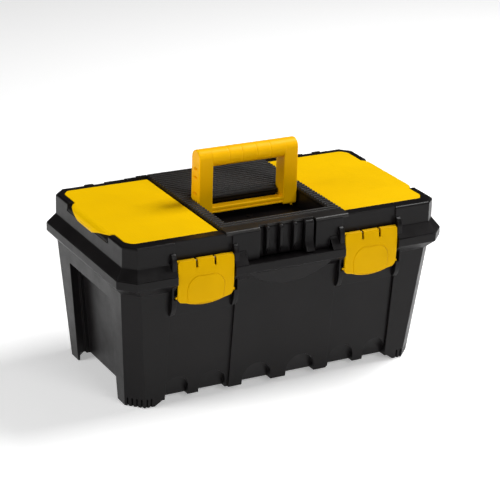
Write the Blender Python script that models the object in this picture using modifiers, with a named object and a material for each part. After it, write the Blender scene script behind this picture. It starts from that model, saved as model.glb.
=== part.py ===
"""Carpenter's toolbox: tapered tub, hinged lid with two organisers, folding
handle, two front latches and a lift-out tray.

Z is up, the front faces -Y, X runs along the length of the box and the origin
is on the ground under the middle of the tub. Dimensions are in millimetres and
MM turns them into metres.
"""

import math

import bmesh
import bpy

MM = 0.001
Y_MIDDLE = 4.15  # the rear knuckles put the middle of the depth this far back
BOX_NAME = "carpenter_toolbox"

# Outlines: half length, half depth, corner chamfer.
BASE = (214.9, 106.2, 19.8)
NECK = (229.0, 121.0, 19.0)
RIM = (240.0, 132.2, 19.5)
LIP = (229.5, 121.5, 18.5)
LID_TOP = (229.4, 120.0, 14.2)

# Heights.
FLOOR_LOW, FLOOR_TOP = 11.5, 14.0
NECK_Z, RIM_LOW, RIM_TOP, LIP_TOP = 165.0, 177.0, 188.0, 190.6
LID_LOW, FLARE_TOP, LID_HIGH, PANEL_TOP = 188.3, 202.0, 229.7, 233.5
CEILING, WELL_FLOOR, BIN_FLOOR = 201.3, 204.6, 204.0
WALL = 3.0

# Front and back walls of the tub.
SKIRT_Z = 7.0
SUNK_PANEL = (74.5, 167.0)
SUNK_DEPTH = 3.5
SUNK_TOP = 130.0
SCALLOPS = ((33.0, 21.5), (97.7, 19.2), (150.0, 17.0))
SCALLOP_TOP, SCALLOP_STEP = 36.0, 1.5

# End walls of the tub.
END_HALF, END_STEP, END_TOP = 64.0, 5.0, 145.0
END_DEPTHS = (11.0, 16.5)

# Rear hinge.
HINGE_Y, HINGE_Z = 135.0, 188.15
KNUCKLE_R, HINGE_PIN_R = 5.5, 1.7
TUB_KNUCKLES = ((97.0, 107.0), (135.0, 145.0))
LID_KNUCKLE = (107.4, 134.6)

# Latches.
LATCH_X, LATCH_HALF = 122.0, 39.8
LATCH_BAY = (81.3, 162.7)
EAR_WIDTH = 6.8
LATCH_FRONT, LATCH_BACK = -128.0, -125.0
LATCH_PIN = (-121.5, 202.5)
LATCH_PIN_R = 1.5
RIM_AT_LATCH = -124.2

# Organisers in the lid.
BIN = (100.5, 214.5, -96.0, 105.0)
COVER = (93.0, 219.5, -101.0, 110.0)
COVER_LOW, COVER_TOP = 226.3, 229.3
COVER_CHAMFER = 12.0
TAB = ((216.0, -61.0), (224.0, -58.0), (229.5, -47.0), (232.6, -31.0), (232.6, 36.0), (229.5, 53.0),
       (224.0, 60.5), (216.0, 63.0))
TAB_ROOM = ((218.0, -62.5), (236.0, -62.5), (236.0, 66.0), (218.0, 66.0))
TAB_LIP = (-30.5, 35.5)
COVER_AXIS = (95.5, 226.6)
COVER_PIN_R = 1.0
BIN_DIVIDERS = (-29.0, 38.0)

# Handle and the well it folds into.
WELL = (76.0, -85.0, 6.0)
LEG_NOTCH = (52.5, 20.5)
HANDLE_HALF, LEG_INNER = 74.0, 53.5
HANDLE_Y = (-9.0, 15.0)
HANDLE_Z = (211.0, 302.0)
CROSSBAR_Z, CROSSBAR_BACK = (214.5, 222.7), 4.0
HANDLE_AXIS = (3.0, 221.0)
HANDLE_PIN_R = 3.0

# Lift-out tray.
TRAY_Z = (148.6, 184.0)
TRAY_LOW, TRAY_HIGH = (213.0, 102.0, 15.0), (220.0, 108.0, 16.0)
TRAY_WALL = 2.0
TRAY_CROSS_WALLS = (-76.0, 76.0)
TRAY_DIVIDERS = (-148.0, 148.0)
GAP = 0.3


# ---------------------------------------------------------------- scene

def clear_scene():
    for item in list(bpy.data.objects):
        bpy.data.objects.remove(item)


def make_collection(name, hidden=False):
    group = bpy.data.collections.new(name)
    bpy.context.scene.collection.children.link(group)
    group.hide_render = hidden
    return group


def plastic(name, colour, roughness, metallic=0.0):
    material = bpy.data.materials.new(name)
    material.use_nodes = True
    shader = material.node_tree.nodes["Principled BSDF"]
    shader.inputs["Base Color"].default_value = (*colour, 1.0)
    shader.inputs["Roughness"].default_value = roughness
    shader.inputs["Metallic"].default_value = metallic
    material.diffuse_color = (*colour, 1.0)
    return material


# ---------------------------------------------------------------- outlines

def octagon(half_x, half_y, cut):
    x, y = half_x, half_y
    return [
        (x, cut - y), (x, y - cut), (x - cut, y), (cut - x, y),
        (-x, y - cut), (-x, cut - y), (cut - x, -y), (x - cut, -y),
    ]


def shrink(size, by):
    half_x, half_y, cut = size
    return (half_x - by, half_y - by, cut - 0.586 * by)


def between(low, high, share):
    return tuple(a + (b - a) * share for a, b in zip(low, high))


def rectangle(x0, x1, y0, y1):
    return [(x0, y0), (x1, y0), (x1, y1), (x0, y1)]


def circle(u, v, radius, steps=16):
    turns = [2.0 * math.pi * (i + 0.5) / steps for i in range(steps)]
    return [(u + radius * math.cos(t), v + radius * math.sin(t)) for t in turns]


def arc(u, v, radius, start, end, steps):
    angles = [math.radians(start + (end - start) * i / steps) for i in range(steps + 1)]
    return [(u + radius * math.cos(a), v + radius * math.sin(a)) for a in angles]


def mirrored(outline, side):
    return [(side * u, v) for u, v in outline]


# ---------------------------------------------------------------- solids

def place(axis, u, v, w):
    spots = {"X": (w, u, v), "Y": (u, w, v), "Z": (u, v, w)}
    return [value * MM for value in spots[axis]]


def loft(bm, axis, levels):
    """Closed solid through outlines stacked along an axis."""
    rings = [[bm.verts.new(place(axis, u, v, w)) for u, v in ring] for w, ring in levels]
    for low, high in zip(rings, rings[1:]):
        for i, corner in enumerate(low):
            j = (i + 1) % len(low)
            bm.faces.new((corner, low[j], high[j], high[i]))
    bm.faces.new(rings[0])
    bm.faces.new(rings[-1])


def prism(bm, axis, outline, start, end):
    loft(bm, axis, [(start, outline), (end, outline)])


def box(bm, x0, x1, y0, y1, z0, z1):
    prism(bm, "Z", rectangle(min(x0, x1), max(x0, x1), min(y0, y1), max(y0, y1)), z0, z1)


def leaning(bm, outline, side, front, back):
    """Plate in the XZ plane whose front and back depths follow height."""
    rings = []
    for depth in (front, back):
        rings.append([bm.verts.new((u * MM, side * depth(v) * MM, v * MM)) for u, v in outline])
    near, far = rings
    for i, corner in enumerate(near):
        j = (i + 1) % len(near)
        bm.faces.new((corner, near[j], far[j], far[i]))
    bm.faces.new(near)
    bm.faces.new(far)


def finish(bm, name, group, material=None, origin=(0.0, 0.0, 0.0)):
    bmesh.ops.recalc_face_normals(bm, faces=bm.faces)
    bmesh.ops.translate(bm, verts=bm.verts, vec=[-value * MM for value in origin])
    mesh = bpy.data.meshes.new(name)
    bm.to_mesh(mesh)
    bm.free()
    item = bpy.data.objects.new(name, mesh)
    item.location = (origin[0] * MM, (origin[1] - Y_MIDDLE) * MM, origin[2] * MM)
    group.objects.link(item)
    if material:
        mesh.materials.append(material)
    return item


def tool(shapes, name, group):
    bm = bmesh.new()
    shapes(bm)
    item = finish(bm, name, group)
    item.display_type = "WIRE"
    item.hide_render = True
    return item


def combine(target, other, operation):
    modifier = target.modifiers.new(other.name, "BOOLEAN")
    modifier.operation = operation
    modifier.solver = "EXACT"
    modifier.object = other


def soften(target, width, segments=1):
    modifier = target.modifiers.new("edges", "BEVEL")
    modifier.width = width * MM
    modifier.segments = segments
    modifier.limit_method = "ANGLE"
    modifier.angle_limit = math.radians(40)


# ---------------------------------------------------------------- tub

def wall_depth(z):
    """Half depth of the outer wall at a height."""
    return BASE[1] + (NECK[1] - BASE[1]) * z / NECK_Z


def wall_length(z):
    return BASE[0] + (NECK[0] - BASE[0]) * z / NECK_Z


def tub_outside(bm):
    loft(bm, "Z", [
        (0.0, octagon(*BASE)),
        (NECK_Z, octagon(*NECK)),
        (RIM_LOW, octagon(*RIM)),
        (RIM_TOP, octagon(*RIM)),
        (RIM_TOP, octagon(*LIP)),
        (LIP_TOP, octagon(*LIP)),
    ])


def tub_additions(bm):
    rib = [(-112.0, 124.0), (-117.5, 124.0), (-127.5, 137.0), (-127.5, 187.2), (-112.0, 187.2)]
    for side in (-1, 1):
        for edge in (LATCH_BAY[0] - EAR_WIDTH, LATCH_BAY[1]):
            start, end = sorted((side * edge, side * (edge + EAR_WIDTH)))
            prism(bm, "X", rib, start, end)
    smile = [(-63.0, 176.0)] + [(x, 150.0 + 24.0 * (x / 60.0) ** 2) for x in range(-60, 61, 20)]
    smile += [(63.0, 176.0), (63.0, 184.0), (-63.0, 184.0)]
    leaning(bm, smile, -1, lambda z: 112.0, lambda z: 131.5 - 0.3 * max(0.0, 176.0 - z))
    for side in (-1, 1):
        for low, high in TUB_KNUCKLES:
            start, end = sorted((side * low, side * high))
            outline = circle(HINGE_Y, HINGE_Z, KNUCKLE_R)
            prism(bm, "X", outline, start, end)


def tub_cavity(bm):
    share = FLOOR_TOP / NECK_Z
    loft(bm, "Z", [
        (FLOOR_TOP, octagon(*shrink(between(BASE, NECK, share), WALL))),
        (NECK_Z, octagon(*shrink(NECK, WALL))),
        (LIP_TOP + 5.0, octagon(*shrink(NECK, WALL))),
    ])


def scallop_outline(centre, half, grow):
    top = SCALLOP_TOP + grow
    radius = half + grow
    rise = top - radius
    return [(centre + radius, -2.0)] + arc(centre, rise, radius, 0, 180, 8) + [(centre - radius, -2.0)]


def scallop_face(centre):
    """Depth of a scallop's face, which leans in from a small step at its top."""
    in_panel = abs(centre) > SUNK_PANEL[0]
    step = SCALLOP_STEP + (SUNK_DEPTH if in_panel else 0.0)
    lean = 9.5 if in_panel else 13.0
    return lambda z: wall_depth(z) - step - lean * (SCALLOP_TOP - z) / SCALLOP_TOP


def end_recess(bm, side, z0, z1, inset, grow):
    low, high = wall_length(z0) - inset, wall_length(z1) - inset
    half = END_HALF - (END_STEP if inset > END_DEPTHS[0] + 0.1 else 0.0) + grow
    outer = 12.0
    loft(bm, "Z", [
        (z0, mirrored(rectangle(low, wall_length(z0) + outer, -half, half), side)),
        (z1, mirrored(rectangle(high, wall_length(z1) + outer, -half, half), side)),
    ])


def tub_inner_bumps(bm):
    """Inside of the sunk panels, so that the wall stays about as thick there."""
    start, end = SUNK_PANEL[0] - WALL, SUNK_PANEL[1] + WALL
    for side in (-1, 1):
        for x_side in (-1, 1):
            x0, x1 = sorted((x_side * start, x_side * end))
            outline = [(x0, FLOOR_LOW + 1.0), (x1, FLOOR_LOW + 1.0), (x1, SUNK_TOP + WALL), (x0, SUNK_TOP + WALL)]
            leaning(bm, outline, side,
                    lambda z: wall_depth(z) - SUNK_DEPTH - WALL,
                    lambda z: wall_depth(z) - 1.0)


def tub_scallop_bumps(bm):
    for side in (-1, 1):
        for x_side in (-1, 1):
            for centre, half in SCALLOPS:
                face = scallop_face(x_side * centre)
                outline = [(u, max(v, FLOOR_LOW + 0.5)) for u, v in scallop_outline(x_side * centre, half, 2.0)]
                sunk = SUNK_DEPTH if centre > SUNK_PANEL[0] else 0.0
                leaning(bm, outline, side, lambda z: face(z) - 2.6, lambda z: wall_depth(z) - 0.6 - sunk)


def tub_end_bumps(bm):
    for side in (-1, 1):
        low, high = FLOOR_LOW + 0.7, END_TOP + WALL
        half = END_HALF + WALL
        loft(bm, "Z", [
            (low, mirrored(rectangle(wall_length(low) - END_DEPTHS[1] - WALL,
                                     wall_length(low) - 1.2, -half, half), side)),
            (high, mirrored(rectangle(wall_length(high) - END_DEPTHS[1] - WALL,
                                      wall_length(high) - 1.2, -half, half), side)),
        ])


def tub_front_cuts(bm):
    """Sunk panels on the front and back walls."""
    for side in (-1, 1):
        for x_side in (-1, 1):
            x0, x1 = sorted((x_side * SUNK_PANEL[0], x_side * SUNK_PANEL[1]))
            outline = [(x0, -2.0), (x1, -2.0), (x1, SUNK_TOP), (x0, SUNK_TOP)]
            leaning(bm, outline, side, lambda z: wall_depth(z) - SUNK_DEPTH, lambda z: wall_depth(z) + 12.0)


def tub_scallop_cuts(bm):
    for side in (-1, 1):
        for x_side in (-1, 1):
            for centre, half in SCALLOPS:
                outline = scallop_outline(x_side * centre, half, 0.0)
                leaning(bm, outline, side, scallop_face(x_side * centre), lambda z: wall_depth(z) + 12.0)


def tub_end_cuts_shallow(bm):
    for side in (-1, 1):
        end_recess(bm, side, -1.0, END_TOP, END_DEPTHS[0], 0.0)


def tub_end_cuts_deep(bm):
    for side in (-1, 1):
        end_recess(bm, side, -2.0, END_TOP - END_STEP, END_DEPTHS[1], 0.0)


def tub_underside(bm):
    """Hollow under the floor, kept clear of the scallops' faces."""
    hollow = octagon(BASE[0] - WALL, 88.0, 16.0)
    prism(bm, "Z", hollow, -3.0, FLOOR_LOW)


def tub_skirt_cut(bm):
    prism(bm, "Y", [(-186.0, -4.0), (186.0, -4.0), (171.0, SKIRT_Z), (-171.0, SKIRT_Z)], -150.0, 150.0)


def tub_latch_bays(bm):
    """Room for the latches: the rim is set back and its underside cut square."""
    for side in (-1, 1):
        x0, x1 = side * LATCH_BAY[0], side * LATCH_BAY[1]
        box(bm, x0, x1, -140.0, RIM_AT_LATCH, SUNK_TOP - 8.0, 196.0)


def tub_hook_pockets(bm):
    for side in (-1, 1):
        x0, x1 = side * (LATCH_BAY[0] - 0.1), side * (LATCH_BAY[1] + 0.1)
        box(bm, x0, x1, -141.0, -121.5, SUNK_TOP - 9.0, RIM_LOW - 0.3)


def tub_lip_cut(bm):
    """The lid's front wall stands where the lip would be."""
    box(bm, -173.0, 173.0, -130.0, -110.0, RIM_TOP, 198.0)


def tub_lug_notches(bm):
    for side in (-1, 1):
        for x0, x1 in ((LATCH_BAY[0] - 3.8, LATCH_BAY[0] + 1.0), (LATCH_BAY[1] - 1.0, LATCH_BAY[1] + 3.8)):
            box(bm, side * x0, side * x1, -142.0, -124.4, 147.0, 168.0)


def knuckle_room(bm, spans, z0, z1):
    for side in (-1, 1):
        for low, high in spans:
            box(bm, side * (low - 0.4), side * (high + 0.4), HINGE_Y - 6.1, 150.0, z0, z1)


def tub_hinge_cuts(bm):
    knuckle_room(bm, (LID_KNUCKLE,), 181.0, 195.0)
    for side in (-1, 1):
        start, end = sorted((side * (TUB_KNUCKLES[0][0] - 1.0), side * (TUB_KNUCKLES[1][1] + 1.0)))
        prism(bm, "X", circle(HINGE_Y, HINGE_Z, HINGE_PIN_R + GAP), start, end)


def build_tub(parts, tools, material):
    bm = bmesh.new()
    tub_outside(bm)
    tub = finish(bm, "tub", parts, material)
    combine(tub, tool(tub_additions, "tub_additions", tools), "UNION")
    combine(tub, tool(tub_cavity, "tub_cavity", tools), "DIFFERENCE")
    combine(tub, tool(tub_inner_bumps, "tub_inner_bumps", tools), "UNION")
    combine(tub, tool(tub_scallop_bumps, "tub_scallop_bumps", tools), "UNION")
    combine(tub, tool(tub_end_bumps, "tub_end_bumps", tools), "UNION")
    cuts = (
        tub_underside, tub_front_cuts, tub_scallop_cuts, tub_end_cuts_shallow, tub_end_cuts_deep,
        tub_skirt_cut, tub_lip_cut, tub_latch_bays, tub_hook_pockets, tub_lug_notches, tub_hinge_cuts,
    )
    for shapes in cuts:
        combine(tub, tool(shapes, shapes.__name__, tools), "DIFFERENCE")


# ---------------------------------------------------------------- lid

def lid_outside(bm):
    loft(bm, "Z", [
        (LID_LOW, octagon(*RIM)),
        (FLARE_TOP, octagon(*LID_TOP)),
        (LID_HIGH, octagon(*LID_TOP)),
    ])


def lid_centre_block(bm):
    box(bm, -90.5, 90.5, -119.9, 119.9, 215.0, PANEL_TOP)


def lid_hollow(bm):
    loft(bm, "Z", [
        (LID_LOW - 5.0, octagon(*shrink(RIM, WALL))),
        (LID_LOW, octagon(*shrink(RIM, WALL))),
        (CEILING, octagon(*shrink(LID_TOP, WALL - 0.4))),
    ])


def lid_front_wall(bm):
    box(bm, -172.0, 172.0, -121.0, -114.4, LID_LOW, FLARE_TOP + 2.0)


def lid_grip_wall(bm):
    box(bm, -44.0, 44.0, -119.0, -109.0, LID_LOW, CEILING + 4.0)


def lid_underside_pockets(bm):
    low = CEILING - 1.0
    box(bm, -87.0, 87.0, -108.5, WELL[1] - 3.0, low, PANEL_TOP - 3.0)
    box(bm, -87.0, 87.0, LEG_NOTCH[1] + 3.0, 116.5, low, PANEL_TOP - 3.0)
    for side in (-1, 1):
        box(bm, side * 98.5, side * 222.0, -113.0, BIN[2] - 2.5, low, 222.5)
        box(bm, side * (BIN[1] + 2.5), side * 226.4, BIN[2], BIN[3] - 1.0, low, 222.5)


def lid_front_bays(bm):
    """Latch bays and the plain stretch between them."""
    for side in (-1, 1):
        box(bm, side * LATCH_BAY[0], side * LATCH_BAY[1], -140.0, -117.3, 185.0, 240.0)
    box(bm, -62.0, 62.0, -141.0, -120.0, 184.0, 241.0)


def lid_grip_cut(bm):
    box(bm, -41.0, 41.0, -143.0, -112.0, 183.0, 242.0)


def lid_grip_ribs(bm):
    for x0, x1 in ((-32.0, -27.0), (-12.0, -7.0), (8.0, 13.0), (25.0, 38.0)):
        outline = [(-110.0, 191.0), (-114.0, 191.0), (-119.6, 203.0), (-119.6, PANEL_TOP - 0.4),
                   (-110.0, PANEL_TOP - 0.4)]
        prism(bm, "X", outline, x0, x1)


def lid_lugs(bm):
    """Ears beside the latches and the rear knuckles."""
    ear = [(-114.5, 189.5), (-114.5, 214.0), (-118.5, 214.0), (-126.6, 205.0), (-127.0, 189.5)]
    for side in (-1, 1):
        for edge in (LATCH_BAY[0] - EAR_WIDTH, LATCH_BAY[1]):
            start, end = sorted((side * edge, side * (edge + EAR_WIDTH)))
            prism(bm, "X", ear, start, end)
        outline = circle(HINGE_Y, HINGE_Z, KNUCKLE_R)
        start, end = sorted((side * LID_KNUCKLE[0], side * LID_KNUCKLE[1]))
        prism(bm, "X", outline, start, end)


def lid_hinge_arms(bm):
    arm = [(124.5, 190.5), (129.5, 188.7), (HINGE_Y, 188.7), (HINGE_Y, 193.4), (124.5, 197.0)]
    for side in (-1, 1):
        start, end = sorted((side * LID_KNUCKLE[0], side * LID_KNUCKLE[1]))
        prism(bm, "X", arm, start, end)


def cover_outline(grow):
    x0, x1 = COVER[0] - grow, COVER[1] + grow
    y0, y1 = COVER[2] - grow, COVER[3] + grow
    cut = COVER_CHAMFER
    return [(x0, y0), (x1 - cut, y0), (x1, y0 + cut), (x1, y1 - cut), (x1 - cut, y1), (x0, y1)]


def lid_cover_seats(bm):
    for side in (-1, 1):
        prism(bm, "Z", mirrored(cover_outline(0.5), side), COVER_LOW - 0.3, 236.0)


def lid_bins(bm):
    for side in (-1, 1):
        box(bm, side * BIN[0], side * BIN[1], BIN[2], BIN[3], BIN_FLOOR, 237.0)


def lid_cover_grooves(bm):
    for side in (-1, 1):
        box(bm, side * 91.2, side * 100.7, COVER[2] - 0.5, COVER[3] + 0.5, 222.3, 238.0)
        prism(bm, "Z", mirrored(TAB_ROOM, side), COVER_LOW - 0.3, 239.0)


def lid_well(bm):
    box(bm, -WELL[0], WELL[0], WELL[1], WELL[2], WELL_FLOOR, 240.0)


def lid_leg_notches(bm):
    for side in (-1, 1):
        box(bm, side * LEG_NOTCH[0], side * WELL[0], WELL[2] - 5.0, LEG_NOTCH[1], WELL_FLOOR, 241.0)


def lid_crossbar_room(bm):
    """Pocket under the panel that the handle's crossbar turns back into."""
    box(bm, -LEG_NOTCH[0] - 5.0, LEG_NOTCH[0] + 5.0, WELL[2] - 1.0, 11.5, WELL_FLOOR, 224.0)


def lid_divider_slots(bm):
    """Pairs of small ribs in the bins that hold the dividers."""
    for side in (-1, 1):
        for y in BIN_DIVIDERS:
            for offset in (-2.6, 1.1):
                for x0, x1 in ((BIN[0] - 0.8, BIN[0] + 1.6), (BIN[1] - 1.6, BIN[1] + 0.8)):
                    box(bm, side * x0, side * x1, y + offset, y + offset + 1.5, BIN_FLOOR - 0.8, 220.0)


def lid_holes(bm):
    for side in (-1, 1):
        start, end = sorted((side * (LATCH_BAY[0] - 5.0), side * (LATCH_BAY[1] + 5.0)))
        prism(bm, "X", circle(*LATCH_PIN, LATCH_PIN_R + GAP), start, end)
        start, end = sorted((side * (LID_KNUCKLE[0] - 1.0), side * (LID_KNUCKLE[1] + 1.0)))
        prism(bm, "X", circle(HINGE_Y, HINGE_Z, HINGE_PIN_R + GAP), start, end)
        start, end = sorted((side * 70.0, side * 79.8))
        prism(bm, "X", circle(*HANDLE_AXIS, HANDLE_PIN_R + GAP), start, end)
        centre = (side * COVER_AXIS[0], COVER_AXIS[1])
        prism(bm, "Y", circle(*centre, COVER_PIN_R + GAP, 12), COVER[2] - 4.0, COVER[3] + 4.0)


def lid_knuckle_room(bm):
    knuckle_room(bm, TUB_KNUCKLES, 182.0, 194.6)


def build_lid(parts, tools, material):
    bm = bmesh.new()
    lid_outside(bm)
    lid = finish(bm, "lid", parts, material, (0.0, HINGE_Y, HINGE_Z))
    steps = (
        (lid_centre_block, "UNION"),
        (lid_hollow, "DIFFERENCE"),
        (lid_front_wall, "UNION"),
        (lid_grip_wall, "UNION"),
        (lid_front_bays, "DIFFERENCE"),
        (lid_grip_cut, "DIFFERENCE"),
        (lid_grip_ribs, "UNION"),
        (lid_lugs, "UNION"),
        (lid_hinge_arms, "UNION"),
        (lid_underside_pockets, "DIFFERENCE"),
        (lid_cover_seats, "DIFFERENCE"),
        (lid_bins, "DIFFERENCE"),
        (lid_cover_grooves, "DIFFERENCE"),
        (lid_well, "DIFFERENCE"),
        (lid_leg_notches, "DIFFERENCE"),
        (lid_crossbar_room, "DIFFERENCE"),
        (lid_knuckle_room, "DIFFERENCE"),
        (lid_divider_slots, "UNION"),
        (lid_holes, "DIFFERENCE"),
    )
    for shapes, operation in steps:
        combine(lid, tool(shapes, shapes.__name__, tools), operation)


# ---------------------------------------------------------------- small parts

def cover_shape(bm, side):
    prism(bm, "Z", mirrored(cover_outline(0.0), side), COVER_LOW, COVER_TOP)


def cover_additions(bm, side):
    loft(bm, "Z", [(COVER_LOW, mirrored(TAB, side)), (COVER_TOP - 0.01, mirrored(TAB, side))])


def cover_lip(bm, side):
    x0, x1 = 229.9, 232.5
    box(bm, side * x0, side * x1, *TAB_LIP, 218.8, COVER_TOP - 1.0)


def cover_barrel(bm, side):
    centre = (side * COVER_AXIS[0], COVER_AXIS[1])
    prism(bm, "Y", circle(*centre, 2.6), COVER[2] + 0.5, COVER[3] - 0.5)


def cover_hole(bm, side):
    centre = (side * COVER_AXIS[0], COVER_AXIS[1])
    prism(bm, "Y", circle(*centre, COVER_PIN_R + GAP, 12), COVER[2] - 2.0, COVER[3] + 2.0)


def build_cover(parts, tools, yellow, steel, side, word):
    axis = (side * COVER_AXIS[0], 0.0, COVER_AXIS[1])
    bm = bmesh.new()
    cover_shape(bm, side)
    cover = finish(bm, "organiser_lid_" + word, parts, yellow, axis)
    for shapes, operation in (
        (cover_additions, "UNION"), (cover_lip, "UNION"), (cover_barrel, "UNION"), (cover_hole, "DIFFERENCE"),
    ):
        combine(cover, tool(lambda b: shapes(b, side), shapes.__name__ + "_" + word, tools), operation)
    bm = bmesh.new()
    prism(bm, "Y", circle(axis[0], axis[2], COVER_PIN_R, 12), COVER[2] - 3.5, COVER[3] + 3.5)
    finish(bm, "organiser_hinge_pin_" + word, parts, steel, axis)


def build_bin_dividers(parts, material, side, word):
    for y, place_word in zip(BIN_DIVIDERS, ("front", "rear")):
        bm = bmesh.new()
        box(bm, side * (BIN[0] + GAP), side * (BIN[1] - GAP), y - 0.8, y + 0.8, BIN_FLOOR + GAP, 224.0)
        finish(bm, "bin_divider_" + word + "_" + place_word, parts, material)


def handle_profile():
    """Side view of the handle: a flat slab with a round top."""
    (front, back), (low, high) = HANDLE_Y, HANDLE_Z
    radius = (back - front) / 2.0
    crown = arc(front + radius, high - radius, radius, 0, 180, 12)
    return [(front + 2.0, low), (back - 2.0, low), (back, low + 2.0)] + crown + [(front, low + 2.0)]


def handle_opening(bm):
    """Room for the hand, leaving a round bar above it."""
    front, back = HANDLE_Y
    radius = (back - front) / 2.0
    middle = HANDLE_Z[1] - radius
    outline = [(-40.0, CROSSBAR_Z[1]), (40.0, CROSSBAR_Z[1]), (40.0, middle)]
    outline += arc(front + radius, middle, radius, 0, -180, 12) + [(-40.0, middle)]
    prism(bm, "X", outline, -LEG_INNER, LEG_INNER)


def handle_under_cut(bm):
    box(bm, -LEG_INNER, LEG_INNER, -40.0, 40.0, HANDLE_Z[0] - 5.0, CROSSBAR_Z[0])


def handle_back_cut(bm):
    box(bm, -LEG_INNER, LEG_INNER, CROSSBAR_BACK, 41.0, HANDLE_Z[0] - 6.0, CROSSBAR_Z[1] + 5.0)


def handle_holes(bm):
    for side in (-1, 1):
        start, end = sorted((side * 65.0, side * 80.0))
        prism(bm, "X", circle(*HANDLE_AXIS, HANDLE_PIN_R + GAP), start, end)


def build_handle(parts, tools, yellow, steel):
    axis = (0.0, *HANDLE_AXIS)
    bm = bmesh.new()
    prism(bm, "X", handle_profile(), -HANDLE_HALF, HANDLE_HALF)
    handle = finish(bm, "handle", parts, yellow, axis)
    for shapes in (handle_opening, handle_under_cut, handle_back_cut):
        combine(handle, tool(shapes, shapes.__name__, tools), "DIFFERENCE")
    soften(handle, 1.6, 2)
    combine(handle, tool(handle_holes, "handle_holes", tools), "DIFFERENCE")
    for side, word in ((-1, "left"), (1, "right")):
        bm = bmesh.new()
        start, end = sorted((side * 65.4, side * 79.5))
        prism(bm, "X", circle(*HANDLE_AXIS, HANDLE_PIN_R), start, end)
        finish(bm, "handle_pin_" + word, parts, steel, axis)


def latch_outline(centre):
    left, right = centre - LATCH_HALF, centre + LATCH_HALF
    points = arc(right - 6.0, 154.0, 6.0, -60, 0, 3) + arc(right - 3.0, 202.5, 3.0, 0, 90, 3)
    points += arc(left + 3.0, 202.5, 3.0, 90, 180, 3) + arc(left + 6.0, 154.0, 6.0, 180, 240, 3)
    points += [(centre + step * 8.0, 143.0 + 0.0052 * (step * 8.0) ** 2) for step in range(-3, 4)]
    return points


def latch_additions(bm, centre):
    block = [(LATCH_FRONT + 0.8, 199.6), (LATCH_PIN[0], 199.6), (LATCH_PIN[0], 205.4), (LATCH_FRONT + 0.8, 205.4)]
    prism(bm, "X", block, centre - LATCH_HALF + 0.4, centre + LATCH_HALF - 0.4)
    box(bm, centre - 20.0, centre + 20.0, LATCH_BACK - 1.0, -122.3, 170.0, RIM_LOW - 0.6)
    for side in (-1, 1):
        box(bm, centre + side * 36.0, centre + side * (LATCH_HALF + 3.2), LATCH_FRONT + 0.2, LATCH_BACK - 0.2,
            156.5, 160.5)


def latch_barrel(bm, centre):
    prism(bm, "X", circle(*LATCH_PIN, 3.3), centre - LATCH_HALF + 0.2, centre + LATCH_HALF - 0.2)


def latch_cuts(bm, centre):
    prism(bm, "X", circle(*LATCH_PIN, LATCH_PIN_R + GAP), centre - 50.0, centre + 50.0)
    for offset in (-13.0, 13.0):
        box(bm, centre + offset - 1.0, centre + offset + 1.0, -131.0, LATCH_BACK - 0.4, 197.0, 208.0)


def build_latch(parts, tools, yellow, steel, side, word):
    centre = side * LATCH_X
    axis = (centre, *LATCH_PIN)
    bm = bmesh.new()
    prism(bm, "Y", latch_outline(centre), LATCH_FRONT, LATCH_BACK)
    latch = finish(bm, "latch_" + word, parts, yellow, axis)
    for shapes, operation in ((latch_additions, "UNION"), (latch_barrel, "UNION"), (latch_cuts, "DIFFERENCE")):
        combine(latch, tool(lambda b: shapes(b, centre), shapes.__name__ + "_" + word, tools), operation)
    bm = bmesh.new()
    prism(bm, "X", circle(*LATCH_PIN, LATCH_PIN_R, 12), centre - 45.2, centre + 45.2)
    finish(bm, "latch_pin_" + word, parts, steel, axis)


def build_hinge_pin(parts, steel, side, word):
    bm = bmesh.new()
    start, end = sorted((side * (TUB_KNUCKLES[0][0] + 0.3), side * (TUB_KNUCKLES[1][1] - 0.3)))
    prism(bm, "X", circle(HINGE_Y, HINGE_Z, HINGE_PIN_R, 12), start, end)
    finish(bm, "lid_hinge_pin_" + word, parts, steel, (0.0, HINGE_Y, HINGE_Z))


# ---------------------------------------------------------------- tray

def tray_size(z):
    share = (z - TRAY_Z[0]) / (TRAY_Z[1] - TRAY_Z[0])
    return between(TRAY_LOW, TRAY_HIGH, share)


def tray_inside(bm):
    """Three compartments, with cross walls left standing between them."""
    low, high = TRAY_Z[0] + TRAY_WALL, TRAY_Z[1] + 3.0
    loft(bm, "Z", [
        (low, octagon(*shrink(tray_size(low), TRAY_WALL))),
        (high, octagon(*shrink(tray_size(high), TRAY_WALL))),
    ])


def tray_walls(bm):
    for x in TRAY_CROSS_WALLS:
        box(bm, x - 1.0, x + 1.0, -101.5, 101.5, TRAY_Z[0] + 0.8, 180.0)


def tray_grip(bm):
    box(bm, TRAY_CROSS_WALLS[0] - 0.5, TRAY_CROSS_WALLS[1] + 0.5, -9.0, 9.0, TRAY_Z[0] + 1.0, TRAY_Z[1])


def tray_grip_gap(bm):
    box(bm, -48.0, 48.0, -12.0, 12.0, 156.0, 176.0)


def tray_grip_hollow(bm):
    outline = [(-71.0, 140.0), (71.0, 140.0), (71.0, 181.0), (51.0, 181.0), (51.0, 153.9),
               (-51.0, 153.9), (-51.0, 181.0), (-71.0, 181.0)]
    prism(bm, "Y", outline, -6.5, 6.5)


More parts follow.
